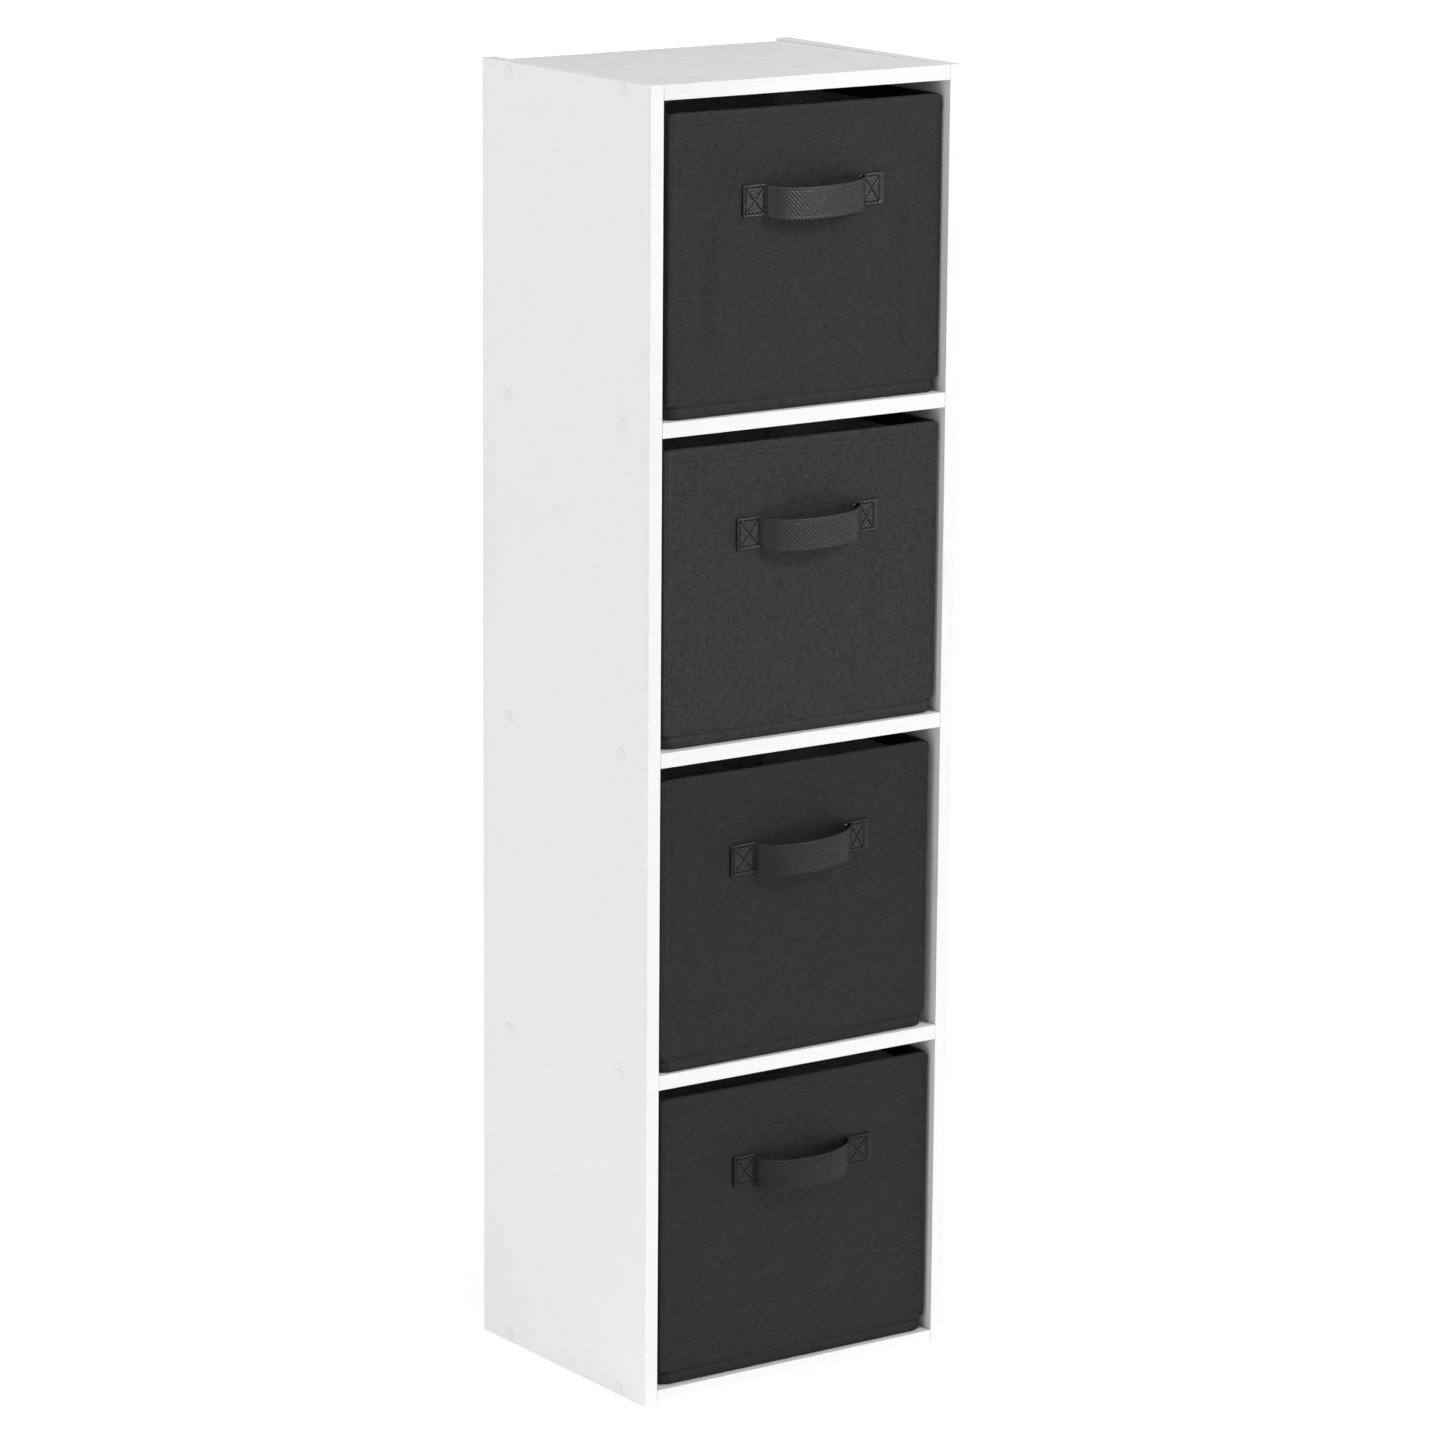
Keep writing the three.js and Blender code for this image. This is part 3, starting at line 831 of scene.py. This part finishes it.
def hem_stitches(item):
    """Two rows under the rim and one along the bottom band, each right round the bin."""
    side, share, turn = item.columns(2.0, 8)
    found = []
    rows = [(HEM_SKIN + 0.08, item.height - drop) for drop in HEM_ROWS]
    rows.append((WALL_SKIN, BASE_BAND + 0.9))
    for t, z in rows:
        path, normals = item.skin(side, share, turn, t, np.full(len(side), z))
        found += stitches_along(path, normals, closed=True)
    return found


# Handles


class Strap:
    """A webbing strap with both ends folded under and sewn flat."""

    def __init__(self, item):
        self.item = item
        self.shape = STRAPS[item.number - 1]
        self.half = item.strap_span / 2
        self.left, self.right = (self.half - sewn for sewn in self.shape["sewn"])
        self.middle = item.strap_middle
        self.under = WALL_SKIN - 0.05 - WEBBING / 2
        self.over = self.under - WEBBING - LAYER_GAP

    def arch(self, x):
        """How far out the strap stands, from 0 at its patches, which it leaves squarely, to 1."""
        free = np.where(x < 0, self.left, self.right)
        power = np.where(x < 0, *self.shape["power"])
        return np.sqrt(1 - np.minimum(np.abs(x) / free, 1) ** power)

    def centre_line(self):
        """Evenly spaced points (x, y) from the left end, under and over, to the right end."""
        turn = (self.under - self.over) / 2
        edge = self.half - turn - WEBBING / 2
        angles = np.radians(np.linspace(90, 270, 9))
        middle = (self.under + self.over) / 2
        halves = []
        for sign, free in ((-1, self.left), (1, self.right)):
            fold = [(edge - turn * math.cos(a), middle + turn * math.sin(a)) for a in angles]
            tuck = [(x, self.under) for x in np.linspace(self.half - TAIL, edge, 20)[:-1]]
            over = [(x, self.over) for x in np.linspace(edge, free, 20)[1:-1]]
            x = free * np.sin(np.linspace(math.pi / 2, 0, 240))
            arch = list(zip(x, self.over - self.shape["bulge"] * self.arch(sign * x)))
            halves.append(np.array(tuck + fold + over + arch) * [sign, 1])
        path = np.concatenate([halves[0], halves[1][::-1][1:]])
        return self.even(self.softened(self.even(path)))

    @staticmethod
    def even(path):
        run = np.concatenate([[0], np.cumsum(np.linalg.norm(np.diff(path, axis=0), axis=1))])
        places = np.linspace(0, run[-1], round(run[-1] / STRAP_STEP) + 1)
        return np.stack([np.interp(places, run, path[:, k]) for k in range(2)], -1)

    def softened(self, path):
        """The bend where the strap leaves its patches is rounded; the folded ends stay tight."""
        kernel = np.hanning(13)[1:-1]
        kernel = kernel / kernel.sum()
        padded = np.pad(path, ((5, 5), (0, 0)), mode="edge")
        smooth = np.stack([np.convolve(padded[:, k], kernel, "valid") for k in range(2)], -1)
        x = path[:, :1]
        near = 1 - smoothstep(6, 9, np.abs(np.abs(x) - np.where(x < 0, self.left, self.right)))
        upper = path[:, 1:] < self.over + 0.3
        return np.where(upper, path + near * (smooth - path), path)

    def lift(self, x):
        return self.shape["rise"] * x / (2 * self.half) - self.shape["sag"] * self.arch(x)

    def groove(self, x, c):
        """How far the sewn box and cross pull the webbing in."""
        depth = 0
        for points in self.sewn_lines():
            depth = np.maximum(depth, bell(distance_to(points, x, c), 0.8))
        return SEWN_GROOVE * depth

    def sewn_lines(self):
        """The box and its diagonals on each patch, as lines (x, c)."""
        top = WEBBING_WIDTH / 2 - BOX_FROM_EDGE
        lines = []
        for end, free, margin in zip((-1, 1), (self.left, self.right), BOX_FROM_FOLDS):
            near, far = end * (free + BOX_FROM_BEND), end * (self.half - margin)
            box = [(near, -top), (near, top), (far, top), (far, -top)]
            lines += [[box[k], box[(k + 1) % 4]] for k in range(4)]
            lines += [[box[0], box[2]], [box[1], box[3]]]
        return lines

    def place(self, x, y, c, lean, lift):
        """From along, out and across the strap to the bin's frame, following the wall behind."""
        z = self.item.strap_height + c * np.cos(lean) + lift
        across = x + self.middle
        wall = self.item.warp(np.zeros(np.broadcast(across, z).shape, int), across, z)
        return np.stack(np.broadcast_arrays(across, y - wall - c * np.sin(lean), z), -1)

    def build(self, material):
        path = self.centre_line()
        ahead = np.gradient(path, axis=0)
        ahead = ahead / np.linalg.norm(ahead, axis=1, keepdims=True)
        out = np.stack([ahead[:, 1], -ahead[:, 0]], -1)
        s = np.arange(len(path)) * STRAP_STEP
        wide = WEBBING_WIDTH / 2
        c = np.linspace(-wide, wide, round(WEBBING_WIDTH / STRAP_STEP) + 1)
        s, c = s[:, None], c[None]
        x = path[:, :1]
        near_edge = wide - np.abs(c)
        plump = np.sqrt(1 - np.clip(1 - near_edge, 0, 1) ** 2) * 0.75 + 0.25
        lean = -self.shape["tip"] * self.arch(x)
        on_patch = np.abs(x) > min(self.left, self.right) - 1
        top_layer = (path[:, 1:] < self.over + 0.25) & on_patch
        layers = []
        for face in (1, -1):
            ribs = np.sin(2 * math.pi * (s + face * c * TWILL_SLOPE) / TWILL_PERIOD)
            slubs = ripples(s, c * 2.5, self.item.seed + 40 + face, 7.0)
            height = TWILL_HEIGHT * (ribs + 0.25 * slubs) * smoothstep(0.2, 1.2, near_edge)
            selvedge = SELVEDGE_DEPTH * bell(near_edge - SELVEDGE_INSET, 0.45)
            thick = WEBBING / 2 * plump + height - TWILL_HEIGHT - selvedge
            if face == 1:
                thick = thick - np.where(top_layer, self.groove(x, c), 0)
            surface_x = x + face * out[:, :1] * thick
            surface_y = path[:, 1:] + face * out[:, 1:] * thick
            layers.append(self.place(surface_x, surface_y, c, lean, self.lift(x)))
        ring = np.concatenate([layers[0], layers[1][:, ::-1]], axis=1)
        rows, count = ring.shape[:2]
        faces = tube_faces(rows, count)
        across = np.concatenate([c[0], c[0][::-1], c[0][:1]])
        u = np.repeat(s, count + 1, 1)
        v = np.repeat(across[None], rows, 0)
        cap = np.stack([np.zeros(count), across[:-1]], -1)
        uv = np.concatenate([grid_uv(u, v), cap, cap])
        name = f"{self.item.name}_handle_webbing"
        strap = mesh_object(name, ring.reshape(-1, 3), faces, material, uv)
        self.item.own(strap, slot="charcoal_webbing", replaces=[f"{self.item.name}_handle"])

    def stitches(self):
        found = []
        surface = self.over - WEBBING / 2 + 0.2
        count = 12
        for (x0, c0), (x1, c1) in self.sewn_lines():
            x, c = np.linspace(x0, x1, count), np.linspace(c0, c1, count)
            path = self.place(x, np.full(count, surface), c, 0.0, self.lift(x))
            normals = np.tile([0.0, -1.0, 0.0], (count, 1))
            found += stitches_along(path, normals, HEAVY_STITCH_PITCH, HEAVY_STITCH_LENGTH)
        return found


def make_bin(number):
    item = Bin(number)
    index = number - 1
    # The fabric's tone carries this bin's painted light or painted shade.
    fabric = cloth(
        f"charcoal_fabric_{number}",
        10.0 * number,
        shades_of(FABRIC_COLOUR, FABRIC_CONTRAST, FABRIC_PAINTED_LIGHT[index]),
        FABRIC_WEAVE,
        FABRIC_RELIEF,
        (item.halves(0)[0], item.height),
        Roughness=0.55,
    )
    # The tape's tone carries this strap's painted light, and its twill contrast a painted glint on
    # the top straps.
    tape = webbing_cloth(
        f"charcoal_webbing_{number}",
        7.0 * number,
        shades_of(WEBBING_COLOUR, TWILL_PATTERN_AND_GLINT[index], WEBBING_PAINTED_LIGHT[index]),
        WEBBING_SHEEN[index],
    )
    make_cover(item, fabric)
    make_lining(item)
    make_stiffeners(item)
    make_base_board(item)
    strap = Strap(item)
    strap.build(tape)
    hem, sewn = hem_stitches(item), strap.stitches()
    make_stitching(f"{item.name}_hem_stitching", hem, item, THREAD_RADIUS, THREAD)
    make_stitching(f"{item.name}_handle_stitching", sewn, item, HEAVY_THREAD_RADIUS, HEAVY_THREAD)


for bin_number in range(1, BIN_COUNT + 1):
    make_bin(bin_number)


# Cabinet

for node_name in sorted(NODES):
    node = NODES[node_name]
    if node.hide_render:  # a piece above stands in for it
        continue
    is_screw = node_name.startswith("screw_")
    node.data.materials.clear()
    node.data.materials.append(ZINC if is_screw else MELAMINE)
    if not is_screw:
        weld = node.modifiers.new("weld", "WELD")
        weld.merge_threshold = WELD_DISTANCE
        bevel = node.modifiers.new("softened_edges", "BEVEL")
        bevel.width = SOFTENED_EDGE
        bevel.segments = 2
        bevel.limit_method = "ANGLE"
        bevel.angle_limit = SHARP_ANGLE
        bevel.harden_normals = True


def make_caps(side_name, side):
    """Domed covers over the screw heads of one side panel."""
    low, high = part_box(f"side_panel_{side_name}")
    face_x = (low.x if side < 0 else high.x) / MM
    angle = np.linspace(0, 2 * math.pi, CAP_SIDES + 1)[:-1]
    points, faces = [], []
    for node_name in sorted(NODES):
        if not (node_name.startswith("screw_") and f"_{side_name}_" in node_name):
            continue
        corner_a, corner_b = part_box(node_name)
        middle = (corner_a + corner_b) / 2 / MM
        start = len(points)
        for radius, proud in CAP_PROFILE:
            for a in angle:
                y, z = middle.y + radius * math.cos(a), middle.z + radius * math.sin(a)
                points.append((face_x + side * proud, y, z))
        rows = len(CAP_PROFILE)
        for quad in grid_faces(rows, CAP_SIDES, True) + start:
            faces.append(list(quad) if side > 0 else list(quad)[::-1])
        outer = [start + (rows - 1) * CAP_SIDES + k for k in range(CAP_SIDES)]
        back = [start + k for k in range(CAP_SIDES)]
        faces.append(outer if side > 0 else outer[::-1])
        faces.append(back[::-1] if side > 0 else back)
    caps = mesh_object(f"screw_caps_{side_name}", points, faces, CAP_PLASTIC)
    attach(caps, "cabinet")


make_caps("left", -1)
make_caps("right", 1)


# Studio: pale floor, even white surroundings and four soft lights.

edge = FLOOR_HALF / MM
floor = mesh_object(
    "studio_floor",
    [(x, y, -FLOOR_DROP) for x, y in ((-edge, -edge), (edge, -edge), (edge, edge), (-edge, edge))],
    [(0, 1, 2, 3)],
    studio_floor("studio_floor_paper"),
)

world = bpy.data.worlds.new("studio")
bpy.context.scene.world = world
world.use_nodes = True
sky = world.node_tree.nodes["Background"]
sky.inputs["Color"].default_value = rgb(1.0, 1.0, 1.0)
sky.inputs["Strength"].default_value = WORLD_STRENGTH

for light_name, (place, aim, side, power) in LIGHTS.items():
    light_data = bpy.data.lights.new(light_name, "AREA")
    light_data.size = side
    light_data.energy = power
    light_data.color = LIGHT_COLOUR
    light = bpy.data.objects.new(light_name, light_data)
    light.location = place
    light.rotation_euler = (Vector(aim) - Vector(place)).to_track_quat("-Z", "Y").to_euler()
    bpy.context.scene.collection.objects.link(light)


def camera_turn(turn, dip, roll):
    """The camera's axes in the frame, from its angles in degrees."""
    turn, dip, roll = (math.radians(angle) for angle in (turn, dip, roll))
    level = Vector((math.cos(turn), -math.sin(turn), 0.0))
    forward = Vector((math.sin(turn), math.cos(turn), 0.0))
    ahead = forward * math.cos(dip) - Vector((0.0, 0.0, math.sin(dip)))
    upright = level.cross(ahead)
    right = level * math.cos(roll) + upright * math.sin(roll)
    up = upright * math.cos(roll) - level * math.sin(roll)
    return Matrix((right, up, -ahead)).transposed().to_4x4()


camera_data = bpy.data.cameras.new("camera")
camera_data.lens = CAMERA_LENS
camera_data.sensor_width = 36.0
camera_data.clip_end = 200.0
camera = bpy.data.objects.new("camera", camera_data)
camera.matrix_world = Matrix.Translation(CAMERA_PLACE) @ camera_turn(*CAMERA_ANGLES)
bpy.context.scene.collection.objects.link(camera)
bpy.context.scene.camera = camera
bpy.context.scene.view_settings.view_transform = "Standard"
